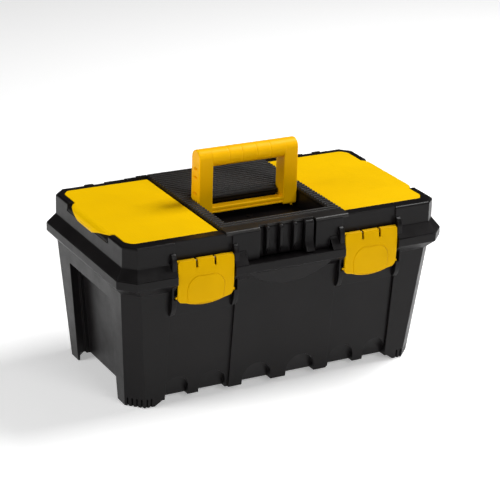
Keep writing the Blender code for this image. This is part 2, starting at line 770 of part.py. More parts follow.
def build_tray(parts, tools, black, grey):
    bm = bmesh.new()
    loft(bm, "Z", [(TRAY_Z[0], octagon(*TRAY_LOW)), (TRAY_Z[1], octagon(*TRAY_HIGH))])
    tray = finish(bm, "tote_tray", parts, grey)
    combine(tray, tool(tray_inside, "tray_inside", tools), "DIFFERENCE")
    combine(tray, tool(tray_walls, "tray_walls", tools), "UNION")
    combine(tray, tool(tray_grip, "tray_grip", tools), "UNION")
    combine(tray, tool(tray_grip_gap, "tray_grip_gap", tools), "DIFFERENCE")
    combine(tray, tool(tray_grip_hollow, "tray_grip_hollow", tools), "DIFFERENCE")
    for x, word in zip(TRAY_DIVIDERS, ("left", "right")):
        bm = bmesh.new()
        low, high = TRAY_Z[0] + TRAY_WALL + GAP, 178.0
        ring = []
        for z in (low, high):
            half = tray_size(z)[1] - TRAY_WALL - GAP - 0.3
            ring.append((z, rectangle(x - 0.8, x + 0.8, -half, half)))
        loft(bm, "Z", ring)
        finish(bm, "tray_divider_" + word, parts, black)


# ---------------------------------------------------------------- assembly

def build():
    clear_scene()
    parts = make_collection(BOX_NAME)
    tools = make_collection("cutters", hidden=True)
    black = plastic("black_polypropylene", (0.02, 0.019, 0.018), 0.5)
    yellow = plastic("yellow_polypropylene", (0.9, 0.68, 0.01), 0.4)
    grey = plastic("tray_polypropylene", (0.03, 0.03, 0.03), 0.5)
    steel = plastic("steel_wire", (0.55, 0.55, 0.54), 0.35, 1.0)
    build_tub(parts, tools, black)
    build_lid(parts, tools, black)
    build_handle(parts, tools, yellow, steel)
    build_tray(parts, tools, black, grey)
    for side, word in ((-1, "left"), (1, "right")):
        build_cover(parts, tools, yellow, steel, side, word)
        build_bin_dividers(parts, black, side, word)
        build_latch(parts, tools, yellow, steel, side, word)
        build_hinge_pin(parts, steel, side, word)


build()
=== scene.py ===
"""Looks of the carpenter's toolbox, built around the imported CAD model.

Lengths here are in millimetres, in the CAD frame moved by BACK so that the
middle of the rim is y = 0, and MM turns them into metres.
"""
import math

import bmesh
import bpy
from mathutils import Matrix, Vector


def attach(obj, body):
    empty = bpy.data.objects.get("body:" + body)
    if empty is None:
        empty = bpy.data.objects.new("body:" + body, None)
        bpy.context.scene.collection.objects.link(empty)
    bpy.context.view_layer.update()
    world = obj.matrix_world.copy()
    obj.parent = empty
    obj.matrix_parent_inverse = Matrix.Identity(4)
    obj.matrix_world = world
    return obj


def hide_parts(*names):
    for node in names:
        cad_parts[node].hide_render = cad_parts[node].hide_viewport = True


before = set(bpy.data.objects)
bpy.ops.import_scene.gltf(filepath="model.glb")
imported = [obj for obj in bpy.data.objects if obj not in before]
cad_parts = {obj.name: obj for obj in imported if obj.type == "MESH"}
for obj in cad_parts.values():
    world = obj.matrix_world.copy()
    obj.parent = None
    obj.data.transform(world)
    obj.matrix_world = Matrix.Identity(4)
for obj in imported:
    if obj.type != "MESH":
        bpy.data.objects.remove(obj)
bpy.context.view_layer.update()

MM = 0.001
BACK = 4.15

BASE = (214.9, 106.2, 19.8)
NECK = (229.0, 121.0, 19.0)
RIM = (240.0, 132.2, 19.5)
LIP = (229.5, 121.5, 18.5)
LID_TOP = (229.4, 120.0, 14.2)
NECK_Z, RIM_LOW, RIM_TOP, LIP_TOP = 165.0, 177.0, 188.0, 190.6
LID_LOW, FLARE_TOP, LID_HIGH, PANEL_TOP = 188.3, 202.0, 229.7, 233.5
BAY = (81.3, 162.7)
EAR = 6.8
HINGE = (135.0, 188.15)
LATCH_PIN = (-121.5, 202.5)
COVER_AXIS = (95.5, 226.6)


# ------------------------------------------------------------ shapes

def octagon(half_x, half_y, cut):
    x, y = half_x, half_y
    return [
        (x, cut - y), (x, y - cut), (x - cut, y), (cut - x, y),
        (-x, y - cut), (-x, cut - y), (cut - x, -y), (x - cut, -y),
    ]


def shrink(size, by):
    return (size[0] - by, size[1] - by, size[2] - 0.586 * by)


def between(low, high, share):
    return tuple(a + (b - a) * share for a, b in zip(low, high))


def rectangle(x0, x1, y0, y1):
    return [(x0, y0), (x1, y0), (x1, y1), (x0, y1)]


def arc(u, v, radius, start, end, steps):
    angles = [math.radians(start + (end - start) * i / steps) for i in range(steps + 1)]
    return [(u + radius * math.cos(a), v + radius * math.sin(a)) for a in angles]


def circle(u, v, radius, steps=32):
    return arc(u, v, radius, 0, 360.0 * (steps - 1) / steps, steps - 1)


def mirrored(outline, side):
    return [(side * u, v) for u, v in outline]


def place(axis, u, v, w):
    spots = {"X": (w, u, v), "Y": (u, w, v), "Z": (u, v, w)}
    x, y, z = spots[axis]
    return (x * MM, (y - BACK) * MM, z * MM)


def loft(bm, axis, levels):
    rings = [[bm.verts.new(place(axis, u, v, w)) for u, v in ring] for w, ring in levels]
    for low, high in zip(rings, rings[1:]):
        for i, corner in enumerate(low):
            j = (i + 1) % len(low)
            bm.faces.new((corner, low[j], high[j], high[i]))
    bm.faces.new(rings[0])
    bm.faces.new(rings[-1])


def prism(bm, axis, outline, start, end):
    loft(bm, axis, [(start, outline), (end, outline)])


def box(bm, x0, x1, y0, y1, z0, z1):
    prism(bm, "Z", rectangle(min(x0, x1), max(x0, x1), min(y0, y1), max(y0, y1)), z0, z1)


def leaning(bm, outline, side, front, back):
    """Plate in the XZ plane whose front and back depths follow height."""
    rings = [[bm.verts.new(place("Y", u, v, side * depth(v))) for u, v in outline] for depth in (front, back)]
    near, far = rings
    for i, corner in enumerate(near):
        j = (i + 1) % len(near)
        bm.faces.new((corner, near[j], far[j], far[i]))
    bm.faces.new(near)
    bm.faces.new(far)


def solid(name, shapes, *args):
    bm = bmesh.new()
    shapes(bm, *args)
    bmesh.ops.recalc_face_normals(bm, faces=bm.faces)
    mesh = bpy.data.meshes.new(name)
    bm.to_mesh(mesh)
    bm.free()
    item = bpy.data.objects.new(name, mesh)
    bpy.context.scene.collection.objects.link(item)
    return item


def combine(target, steps, *args):
    """Booleans in order, applied, with the tool objects removed."""
    tools = []
    for shapes, operation in steps:
        other = solid("tool", shapes, *args)
        tools.append(other)
        modifier = target.modifiers.new("b", "BOOLEAN")
        modifier.operation = operation
        modifier.solver = "EXACT"
        modifier.object = other
    apply_all(target)
    for other in tools:
        bpy.data.objects.remove(other)


def apply_all(item):
    bpy.context.view_layer.update()
    graph = bpy.context.evaluated_depsgraph_get()
    mesh = bpy.data.meshes.new_from_object(item.evaluated_get(graph))
    item.modifiers.clear()
    item.data = mesh


def tidy(item):
    """Merge what the Booleans split, so that the bevels run cleanly."""
    bm = bmesh.new()
    bm.from_mesh(item.data)
    bmesh.ops.remove_doubles(bm, verts=bm.verts, dist=0.00003)
    bmesh.ops.dissolve_limit(bm, angle_limit=math.radians(0.6), verts=bm.verts, edges=bm.edges)
    bm.to_mesh(item.data)
    bm.free()


def round_edges(item, width, segments=2, angle=28.0, clean=True):
    if clean:
        tidy(item)
    modifier = item.modifiers.new("edges", "BEVEL")
    modifier.width = width * MM
    modifier.segments = segments
    modifier.limit_method = "ANGLE"
    modifier.angle_limit = math.radians(angle)
    modifier.use_clamp_overlap = False
    modifier.miter_outer = "MITER_ARC"
    apply_all(item)
    item.data.shade_smooth()
    item.data.set_sharp_from_angle(angle=math.radians(40.0))
    flatten = item.modifiers.new("normals", "WEIGHTED_NORMAL")
    flatten.keep_sharp = True
    flatten.weight = 100
    apply_all(item)
    return item


def finish(item, material, body, replaced=()):
    item.data.materials.clear()
    item.data.materials.append(material)
    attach(item, body)
    if replaced:
        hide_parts(*replaced)
    return item


# ------------------------------------------------------------ materials

def node(tree, kind, **values):
    made = tree.nodes.new(kind)
    for name, value in values.items():
        if name in made.inputs:
            made.inputs[name].default_value = value
        else:
            setattr(made, name, value)
    return made


def texture(tree, scale, detail, roughness=0.5, stretch=(1.0, 1.0, 1.0)):
    where = node(tree, "ShaderNodeTexCoord")
    mapping = node(tree, "ShaderNodeMapping")
    mapping.inputs["Scale"].default_value = stretch
    noise = node(tree, "ShaderNodeTexNoise")
    noise.inputs["Scale"].default_value = scale
    noise.inputs["Detail"].default_value = detail
    noise.inputs["Roughness"].default_value = roughness
    tree.links.new(where.outputs["Object"], mapping.inputs["Vector"])
    tree.links.new(mapping.outputs["Vector"], noise.inputs["Vector"])
    return noise


def ramp(tree, source, low, high, start=0.3, end=0.7):
    made = node(tree, "ShaderNodeMapRange")
    made.inputs["From Min"].default_value = start
    made.inputs["From Max"].default_value = end
    made.inputs["To Min"].default_value = low
    made.inputs["To Max"].default_value = high
    tree.links.new(source, made.inputs["Value"])
    return made.outputs["Result"]


def bump(tree, height, strength, distance, below=None):
    made = node(tree, "ShaderNodeBump")
    made.inputs["Strength"].default_value = strength
    made.inputs["Distance"].default_value = distance
    tree.links.new(height, made.inputs["Height"])
    if below:
        tree.links.new(below, made.inputs["Normal"])
    return made.outputs["Normal"]


def plastic(name, colour, second, rough, grain, specular, tint=(1.0, 1.0, 1.0), dots=0.0):
    """Moulded plastic: fine spark grain, slight flow waviness, tone and gloss that vary."""
    material = bpy.data.materials.new(name)
    material.use_nodes = True
    tree = material.node_tree
    shader = tree.nodes["Principled BSDF"]
    shader.inputs["Specular IOR Level"].default_value = specular
    shader.inputs["Specular Tint"].default_value = (*tint, 1.0)
    tone = texture(tree, 14.0, 4.0)
    mix = node(tree, "ShaderNodeMix", data_type="RGBA")
    mix.inputs[6].default_value = (*colour, 1.0)
    mix.inputs[7].default_value = (*second, 1.0)
    tree.links.new(ramp(tree, tone.outputs["Fac"], 0.0, 1.0, 0.35, 0.65), mix.inputs[0])
    tree.links.new(mix.outputs[2], shader.inputs["Base Color"])
    gloss = texture(tree, 55.0, 6.0, 0.6)
    tree.links.new(ramp(tree, gloss.outputs["Fac"], rough - 0.05, rough + 0.07), shader.inputs["Roughness"])
    normal = bump(tree, texture(tree, 9.0, 2.0).outputs["Fac"], 0.2, 0.002)
    if dots:
        where = node(tree, "ShaderNodeTexCoord")
        cells = node(tree, "ShaderNodeTexVoronoi", Scale=250.0, Randomness=0.0)
        tree.links.new(where.outputs["Object"], cells.inputs["Vector"])
        normal = bump(tree, cells.outputs["Distance"], dots, 0.0006, normal)
    normal = bump(tree, texture(tree, 1300.0, 2.0, 0.6).outputs["Fac"], grain, 0.0002, normal)
    tree.links.new(normal, shader.inputs["Normal"])
    return material


def metal(name, colour, rough):
    material = bpy.data.materials.new(name)
    material.use_nodes = True
    tree = material.node_tree
    shader = tree.nodes["Principled BSDF"]
    shader.inputs["Metallic"].default_value = 1.0
    shader.inputs["Base Color"].default_value = (*colour, 1.0)
    streaks = texture(tree, 300.0, 3.0, 0.6, (0.05, 1.0, 1.0))
    tree.links.new(ramp(tree, streaks.outputs["Fac"], rough - 0.1, rough + 0.12), shader.inputs["Roughness"])
    return material


DECK = plastic("black_deck", (0.0100, 0.0085, 0.0076), (0.0140, 0.0120, 0.0108), 0.36, 0.25, 0.30)
BLACK = plastic("black_moulded", (0.0042, 0.0035, 0.0037), (0.0060, 0.0050, 0.0053), 0.34, 0.22, 0.17)
TRAY = plastic("tray_moulded", (0.013, 0.013, 0.014), (0.017, 0.017, 0.018), 0.42, 0.22, 0.25)
YELLOW = plastic("yellow_moulded", (0.97, 0.505, 0.0), (1.0, 0.53, 0.0), 0.38, 0.25, 0.22, (1.0, 0.75, 0.2))
LATCHES = plastic("yellow_latch", (0.70, 0.385, 0.0), (0.74, 0.41, 0.0), 0.42, 0.25, 0.10, (1.0, 0.75, 0.1))
COVERS = plastic("yellow_cover", (0.86, 0.51, 0.0), (0.90, 0.54, 0.0), 0.46, 0.25, 0.09, (1.0, 0.75, 0.1),
                 dots=0.8)
STEEL = metal("steel_wire", (0.6, 0.6, 0.58), 0.35)


# ------------------------------------------------------------ tub

def wall_depth(z):
    return BASE[1] + (NECK[1] - BASE[1]) * z / NECK_Z


def wall_length(z):
    return BASE[0] + (NECK[0] - BASE[0]) * z / NECK_Z


SCALLOPS = ((33.0, 21.5), (97.7, 19.2), (150.0, 17.0))
SUNK, SUNK_DEPTH, SUNK_TOP = (74.5, 167.0), 3.5, 130.0
WALL, FLOOR_LOW, FLOOR_TOP = 3.0, 11.5, 14.0
SCALLOP_TOP = 36.0
END_HALF, END_TOP = 64.0, 145.0


def tub_outside(bm):
    loft(bm, "Z", [
        (0.0, octagon(*BASE)), (NECK_Z, octagon(*NECK)), (RIM_LOW, octagon(*RIM)),
        (RIM_TOP, octagon(*RIM)), (RIM_TOP, octagon(*LIP)), (LIP_TOP, octagon(*LIP)),
    ])


def tub_cavity(bm):
    loft(bm, "Z", [
        (FLOOR_TOP, octagon(*shrink(between(BASE, NECK, FLOOR_TOP / NECK_Z), WALL))),
        (NECK_Z, octagon(*shrink(NECK, WALL))),
        (LIP_TOP + 5.0, octagon(*shrink(NECK, WALL))),
    ])


def scallop_outline(centre, half, grow, steps=18):
    radius = half + grow
    rise = SCALLOP_TOP + grow - radius
    return [(centre + radius, -2.0)] + arc(centre, rise, radius, 0, 180, steps) + [(centre - radius, -2.0)]


def scallop_face(centre):
    """Depth of a scallop's face, which leans in from a small step at its top."""
    in_panel = abs(centre) > SUNK[0]
    step, lean = (1.5 + SUNK_DEPTH, 9.5) if in_panel else (1.5, 13.0)
    return lambda z: wall_depth(z) - step - lean * (SCALLOP_TOP - z) / SCALLOP_TOP


def each_scallop():
    for side in (-1, 1):
        for x_side in (-1, 1):
            for centre, half in SCALLOPS:
                yield side, x_side * centre, half


def tub_panel_bumps(bm):
    for side in (-1, 1):
        for x_side in (-1, 1):
            x0, x1 = sorted((x_side * (SUNK[0] - WALL), x_side * (SUNK[1] + WALL)))
            outline = rectangle(x0, x1, FLOOR_LOW + 1.0, SUNK_TOP + WALL)
            leaning(bm, outline, side,
                    lambda z: wall_depth(z) - SUNK_DEPTH - WALL, lambda z: wall_depth(z) - 1.0)


def tub_scallop_bumps(bm):
    for side, centre, half in each_scallop():
        outline = [(u, max(v, FLOOR_LOW + 0.5)) for u, v in scallop_outline(centre, half, 2.0)]
        face = scallop_face(centre)
        sunk = SUNK_DEPTH if abs(centre) > SUNK[0] else 0.0
        leaning(bm, outline, side, lambda z: face(z) - 2.6, lambda z: wall_depth(z) - 0.6 - sunk)


def tub_end_bumps(bm):
    for side in (-1, 1):
        levels = []
        for z in (FLOOR_LOW + 0.7, END_TOP + WALL):
            reach = wall_length(z)
            outline = rectangle(reach - 19.5, reach - 1.2, -END_HALF - WALL, END_HALF + WALL)
            levels.append((z, mirrored(outline, side)))
        loft(bm, "Z", levels)


def tub_underside(bm):
    prism(bm, "Z", octagon(BASE[0] - WALL, 88.0, 16.0), -3.0, FLOOR_LOW)


def tub_panel_cuts(bm):
    for side in (-1, 1):
        for x_side in (-1, 1):
            x0, x1 = sorted((x_side * SUNK[0], x_side * SUNK[1]))
            leaning(bm, rectangle(x0, x1, -2.0, SUNK_TOP), side,
                    lambda z: wall_depth(z) - SUNK_DEPTH, lambda z: wall_depth(z) + 12.0)


def tub_scallop_cuts(bm):
    for side, centre, half in each_scallop():
        leaning(bm, scallop_outline(centre, half, 0.0), side,
                scallop_face(centre), lambda z: wall_depth(z) + 12.0)


def tub_end_cut(bm, depth, half, low, top):
    for side in (-1, 1):
        levels = []
        for z in (low, top):
            reach = wall_length(z)
            levels.append((z, mirrored(rectangle(reach - depth, reach + 12.0, -half, half), side)))
        loft(bm, "Z", levels)


def tub_skirt_cut(bm):
    prism(bm, "Y", [(-186.0, -4.0), (186.0, -4.0), (171.0, 7.0), (-171.0, 7.0)], -150.0, 150.0)


def tub_lip_cut(bm):
    box(bm, -173.0, 173.0, -130.0, -110.0, RIM_TOP, 198.0)


def tub_bay_cuts(bm):
    for side in (-1, 1):
        box(bm, side * BAY[0], side * BAY[1], -140.0, -124.2, 122.0, 196.0)


def tub_hook_cuts(bm):
    for side in (-1, 1):
        box(bm, side * BAY[0], side * BAY[1], -141.0, -121.5, 121.0, RIM_LOW - 0.3)


def tub_knuckle_cuts(bm):
    for side in (-1, 1):
        box(bm, side * 107.0, side * 135.0, HINGE[0] - 6.1, 150.0, 181.0, 195.0)


def foot_slots(bm):
    """Short upright slots around the bottom of each corner foot."""
    for side in (-1, 1):
        for y_side in (-1, 1):
            for step in range(2):
                x = side * (186.5 + 6.0 * step)
                box(bm, x - 1.1, x + 1.1, y_side * 103.9, y_side * 112.0, -2.0, 12.5)


def corner_slots(bm):
    """The same slots across the chamfered corner, cut square to it."""
    half_x, half_y, cut = BASE
    for side in (-1, 1):
        for y_side in (-1, 1):
            for step in (-1.6, -0.55, 0.5, 1.55):
                middle = (half_x - cut / 2.0 + step * 4.4, half_y - cut / 2.0 - step * 4.4)
                along, out = (0.78, -0.78), (2.0, 2.0)
                corners = [
                    (middle[0] - along[0] - out[0], middle[1] - along[1] - out[1]),
                    (middle[0] + along[0] - out[0], middle[1] + along[1] - out[1]),
                    (middle[0] + along[0] + 5.0, middle[1] + along[1] + 5.0),
                    (middle[0] - along[0] + 5.0, middle[1] - along[1] + 5.0),
                ]
                prism(bm, "Z", [(side * x, y_side * y) for x, y in corners], -2.0, 12.5)


def smile(bm):
    """Crescent-shaped swelling under the middle of the rim."""
    outline = [(-64.0, 177.0)]
    outline += [(x, 150.5 + 24.0 * (abs(x) / 62.0) ** 2.0) for x in range(-62, 63, 4)]
    outline += [(64.0, 177.0), (64.0, 186.6), (-64.0, 186.6)]
    leaning(bm, outline, -1, lambda z: 112.0, lambda z: 131.8 - 0.33 * max(0.0, 177.0 - z))


def tub_ribs(bm, side, edge):
    profile = [(-112.0, 131.0), (-120.5, 131.0), (-124.0, 135.5), (-126.3, 141.5), (-127.5, 149.0),
               (-127.5, 187.6), (-112.0, 187.6)]
    start, end = sorted((side * edge, side * (edge + EAR)))
    prism(bm, "X", profile, start, end)


def rib_notch(bm, side, edge):
    x0, x1 = (edge + 2.4, edge + EAR + 2.0) if edge < 100 else (edge - 2.0, edge + EAR - 2.4)
    box(bm, side * x0, side * x1, -135.0, -119.5, 155.0, 170.5)


def knuckle(bm, low, high, side):
    start, end = sorted((side * low, side * high))
    prism(bm, "X", circle(*HINGE, 5.5), start, end)


def build_tub():
    tub = solid("tub_shell", tub_outside)
    combine(tub, (
        (tub_cavity, "DIFFERENCE"), (tub_panel_bumps, "UNION"), (tub_scallop_bumps, "UNION"),
        (tub_end_bumps, "UNION"), (tub_underside, "DIFFERENCE"), (tub_panel_cuts, "DIFFERENCE"),
        (tub_scallop_cuts, "DIFFERENCE"),
        (lambda bm: tub_end_cut(bm, 11.0, END_HALF, -1.0, END_TOP), "DIFFERENCE"),
        (lambda bm: tub_end_cut(bm, 16.5, END_HALF - 5.0, -2.0, END_TOP - 5.0), "DIFFERENCE"),
        (tub_skirt_cut, "DIFFERENCE"), (tub_lip_cut, "DIFFERENCE"), (tub_bay_cuts, "DIFFERENCE"),
        (tub_hook_cuts, "DIFFERENCE"), (tub_knuckle_cuts, "DIFFERENCE"),
        (foot_slots, "DIFFERENCE"), (corner_slots, "DIFFERENCE"),
    ))
    round_edges(tub, 0.7)
    finish(tub, BLACK, "tub", ("tub",))
    front = round_edges(solid("tub_crescent", smile), 1.2)
    finish(front, BLACK, "tub", ("tub",))
    for side, word in ((-1, "left"), (1, "right")):
        for edge, spot in ((BAY[0] - EAR, "inner"), (BAY[1], "outer")):
            rib = solid(f"tub_rib_{word}_{spot}", tub_ribs, side, edge)
            combine(rib, ((lambda bm: rib_notch(bm, side, edge), "DIFFERENCE"),))
            finish(round_edges(rib, 0.8), BLACK, "tub", ("tub",))
        for low, high, spot in ((97.0, 107.0, "inner"), (135.0, 145.0, "outer")):
            piece = round_edges(solid(f"tub_knuckle_{word}_{spot}", knuckle, low, high, side), 0.6)
            finish(piece, BLACK, "tub", ("tub",))


# ------------------------------------------------------------ lid

COVER = (93.0, 219.5, -101.0, 110.0)
BIN = (100.5, 214.5, -96.0, 105.0)
TAB_BEND = (223.6, 9.0, 87.0)
WELL = (76.0, -85.0, 6.0)
CEILING = 201.3


def lid_outside(bm):
    loft(bm, "Z", [
        (LID_LOW, octagon(*RIM)), (FLARE_TOP, octagon(*LID_TOP)),
        (LID_HIGH - 2.0, octagon(*LID_TOP)), (LID_HIGH, octagon(*shrink(LID_TOP, 2.0))),
    ])


def lid_hollow(bm):
    loft(bm, "Z", [
        (LID_LOW - 5.0, octagon(*shrink(RIM, WALL))), (LID_LOW, octagon(*shrink(RIM, WALL))),
        (CEILING, octagon(*shrink(LID_TOP, 2.6))),
    ])


def lid_front_wall(bm):
    box(bm, -172.0, 172.0, -121.0, -114.4, LID_LOW, FLARE_TOP + 2.0)


def lid_grip_wall(bm):
    box(bm, -44.0, 44.0, -119.0, -109.0, LID_LOW, CEILING + 4.0)


def lid_bays(bm):
    for side in (-1, 1):
        box(bm, side * BAY[0], side * BAY[1], -140.0, -117.3, 185.0, 240.0)


def lid_middle(bm):
    box(bm, -62.0, 62.0, -141.0, -120.0, 184.0, 241.0)


def lid_grip_cut(bm):
    box(bm, -41.0, 41.0, -143.0, -112.0, 183.0, 242.0)


def lid_pockets(bm):
    low, high = CEILING - 1.0, LID_HIGH - 3.0
    box(bm, -87.0, 87.0, -108.5, WELL[1] - 3.0, low, high)
    box(bm, -87.0, 87.0, 23.5, 116.5, low, high)


def cover_outline(grow):
    x0, x1, y0, y1 = COVER[0] - grow, COVER[1] + grow, COVER[2] - grow, COVER[3] + grow
    near = arc(x1 - 12.0, y0 + 9.0, 9.0, -90, -45, 4) + arc(x1 - 8.0, y0 + 13.0, 8.0, -45, 0, 4)
    far = arc(x1 - 8.0, y1 - 13.0, 8.0, 0, 45, 4) + arc(x1 - 12.0, y1 - 9.0, 9.0, 45, 90, 4)
    return [(x0, y0)] + near + far + [(x0, y1)]


def lid_seats(bm):
    for side in (-1, 1):
        prism(bm, "Z", mirrored(cover_outline(0.6), side), 226.0, 236.0)


def lid_bins(bm):
    for side in (-1, 1):
        box(bm, side * BIN[0], side * BIN[1], BIN[2], BIN[3], 204.0, 237.0)


def lid_grooves(bm):
    for side in (-1, 1):
        box(bm, side * 90.8, side * 100.7, COVER[2] - 0.9, COVER[3] + 0.9, 222.0, 238.0)


def lid_tab_rooms(bm):
    """Dip in the end wall's top edge that the finger tab curls over."""
    for side in (-1, 1):
        profile = [(218.0, 226.0), (225.0, 225.9), (227.4, 224.4), (229.0, 222.0), (229.3, 219.0),
                   (236.0, 219.0), (236.0, 239.0), (218.0, 239.0)]
        prism(bm, "Y", mirrored(profile, side), -62.5, 66.0)


def lid_well(bm):
    box(bm, -WELL[0], WELL[0], WELL[1], WELL[2], 204.6, 240.0)


def lid_notches(bm):
    for side in (-1, 1):
        box(bm, side * 52.5, side * WELL[0], 1.0, 20.5, 204.6, 241.0)


def lid_crossbar_room(bm):
    box(bm, -57.5, 57.5, 5.0, 11.5, 204.6, 224.0)


def lid_knuckle_cuts(bm):
    for side in (-1, 1):
        for low, high in ((97.0, 107.0), (135.0, 145.0)):
            box(bm, side * (low - 0.4), side * (high + 0.4), HINGE[0] - 6.1, 150.0, 182.0, 194.6)


def deck(bm):
    """Raised middle of the lid, sunk where the treads stand and sloping down to the front."""
    profile = [
        (-119.4, 226.7), (-119.4, 230.0), (-117.6, 231.6), (-103.2, 232.9), (-101.8, 232.8), (-101.2, 230.8),
        (117.6, 230.8), (119.0, 230.0), (119.0, 226.7),
    ]
    prism(bm, "X", profile, -90.0, 90.0)


def tread(bm, x0, x1, y):
    """One low ridge along X with sloping flanks."""
    profile = [(y - 2.6, 230.4), (y + 2.6, 230.4), (y + 1.3, PANEL_TOP), (y - 1.3, PANEL_TOP)]
    prism(bm, "X", profile, x0, x1)


def treads(bm):
    full, edge = 89.7, WELL[0] + 0.3
    for step in range(32):
        y = -98.0 + 6.9 * step
        if y < WELL[1] - 2.7 or y > 23.3:
            spans = ((-full, full),)
        elif y < WELL[2] + 2.6:
            spans = ((-full, -edge), (edge, full))
        else:
            spans = ((-full, -edge), (-52.2, 52.2), (edge, full))
        for x0, x1 in spans:
            tread(bm, x0, x1, y)


REAR_STEPS = ((90.2, 107.0, 232.6), (107.0, 124.0, 231.4), (124.0, 154.0, 230.6), (170.0, 183.0, 230.9))


def rear_steps(bm):
    """Rear border of the lid, stepping up towards the raised middle."""
    for side in (-1, 1):
        for x0, x1, top in REAR_STEPS:
            box(bm, side * x0, side * (x1 - 0.3), 112.5, 119.3, 228.0, top)


def grip_rib(bm, x0, x1):
    profile = [(-110.0, 189.5), (-113.0, 189.5), (-119.9, 203.0), (-119.9, 228.0), (-117.5, 230.6),
               (-110.0, 230.6)]
    prism(bm, "X", profile, x0, x1)


def grip_block(bm, x0, x1):
    """The widest flute, whose foot flares out to the rim."""
    profile = [(-110.0, 189.5), (-127.0, 189.5), (-119.9, 203.0), (-119.9, 228.0), (-117.5, 230.6),
               (-110.0, 230.6)]
    prism(bm, "X", profile, x0, x1)


def ear(bm, side, edge):
    profile = [(-114.5, 188.9), (-114.5, 215.5), (-120.0, 216.0), (-123.5, 214.0), (-126.3, 209.5),
               (-127.3, 203.5), (-127.3, 188.9)]
    start, end = sorted((side * edge, side * (edge + EAR)))
    prism(bm, "X", profile, start, end)


def hinge_arm(bm, side):
    profile = [(124.5, 190.5), (129.5, 188.7), (HINGE[0], 188.7), (HINGE[0], 193.4), (124.5, 197.0)]
    start, end = sorted((side * 107.4, side * 134.6))
    prism(bm, "X", profile, start, end)


def divider_slots(bm, side):
    for y in (-29.0, 38.0):
        for offset in (-2.6, 1.1):
            for x0, x1 in ((BIN[0] - 0.8, BIN[0] + 1.6), (BIN[1] - 1.6, BIN[1] + 0.8)):
                box(bm, side * x0, side * x1, y + offset, y + offset + 1.5, 203.2, 220.0)


def well_boss(bm):
    prism(bm, "Z", circle(0.0, -14.0, 4.2), 204.0, 206.2)


def build_lid():
    def add(name, shapes, *args, width=0.8, segments=2):
        piece = round_edges(solid(name, shapes, *args), width, segments)
        return finish(piece, BLACK, "lid", ("lid",))

    lid = solid("lid_shell", lid_outside)
    combine(lid, (
        (lid_hollow, "DIFFERENCE"), (lid_front_wall, "UNION"), (lid_grip_wall, "UNION"),
        (lid_bays, "DIFFERENCE"), (lid_middle, "DIFFERENCE"), (lid_grip_cut, "DIFFERENCE"),
        (lid_pockets, "DIFFERENCE"), (lid_seats, "DIFFERENCE"), (lid_bins, "DIFFERENCE"),
        (lid_grooves, "DIFFERENCE"), (lid_tab_rooms, "DIFFERENCE"), (lid_well, "DIFFERENCE"),
        (lid_notches, "DIFFERENCE"), (lid_crossbar_room, "DIFFERENCE"), (lid_knuckle_cuts, "DIFFERENCE"),
    ))
    round_edges(lid, 0.9)
    finish(lid, BLACK, "lid", ("lid",))
    top = solid("lid_deck", deck)
    combine(top, ((lid_well, "DIFFERENCE"), (lid_notches, "DIFFERENCE"), (lid_grip_cut, "DIFFERENCE")))
    finish(round_edges(top, 0.7), DECK, "lid", ("lid",))
    tread_set = round_edges(solid("lid_treads", treads), 0.5)
    finish(tread_set, DECK, "lid", ("lid",))
    add("lid_rear_steps", rear_steps, width=0.6)
    for i, (x0, x1) in enumerate(((-32.0, -27.0), (-12.0, -7.0), (8.0, 13.0))):
        add(f"lid_grip_rib_{i + 1}", grip_rib, x0, x1, width=1.3, segments=3)
    add("lid_grip_block", grip_block, 25.0, 38.0, width=1.3, segments=3)
    for side, word in ((-1, "left"), (1, "right")):
        for edge, spot in ((BAY[0] - EAR, "inner"), (BAY[1], "outer")):
            add(f"lid_ear_{word}_{spot}", ear, side, edge, width=1.0, segments=3)
        add(f"lid_hinge_arm_{word}", hinge_arm, side)
        add(f"lid_knuckle_{word}", knuckle, 107.4, 134.6, side, width=0.6)
        add(f"lid_divider_slots_{word}", divider_slots, side, width=0.3, segments=1)
    add("lid_well_boss", well_boss, width=0.8)


# ------------------------------------------------------------ yellow pieces

TAB_EDGE = ((219.5, -61.0), (224.0, -58.0), (229.0, -48.5), (233.0, -37.5), (235.5, -30.0), (237.5, -25.0),
            (239.2, -19.0), (239.2, 25.0), (237.5, 31.0), (235.5, 36.0), (233.0, 43.5), (229.0, 53.5),
            (224.0, 60.5), (219.5, 63.0))


def cover_outline_with_tab():
    """Plan of a cover with its finger tab laid out flat."""
    x0, x1, y0, y1 = COVER
    near = arc(x1 - 12.0, y0 + 9.0, 9.0, -90, -45, 4) + arc(x1 - 8.0, y0 + 13.0, 8.0, -45, 0, 4)
    far = arc(x1 - 8.0, y1 - 13.0, 8.0, 0, 45, 4) + arc(x1 - 12.0, y1 - 9.0, 9.0, 45, 90, 4)
    return [(x0, y0)] + near + list(TAB_EDGE) + far + [(x0, y1)]


def cover_plate(bm, side):
    prism(bm, "Z", mirrored(cover_outline_with_tab(), side), 226.3, 229.3)


def slice_at(bm, where, normal):
    """Adds an edge loop where a plane meets the mesh, so that the mesh can bend there."""
    bmesh.ops.bisect_plane(bm, geom=bm.verts[:] + bm.edges[:] + bm.faces[:], plane_co=where, plane_no=normal)


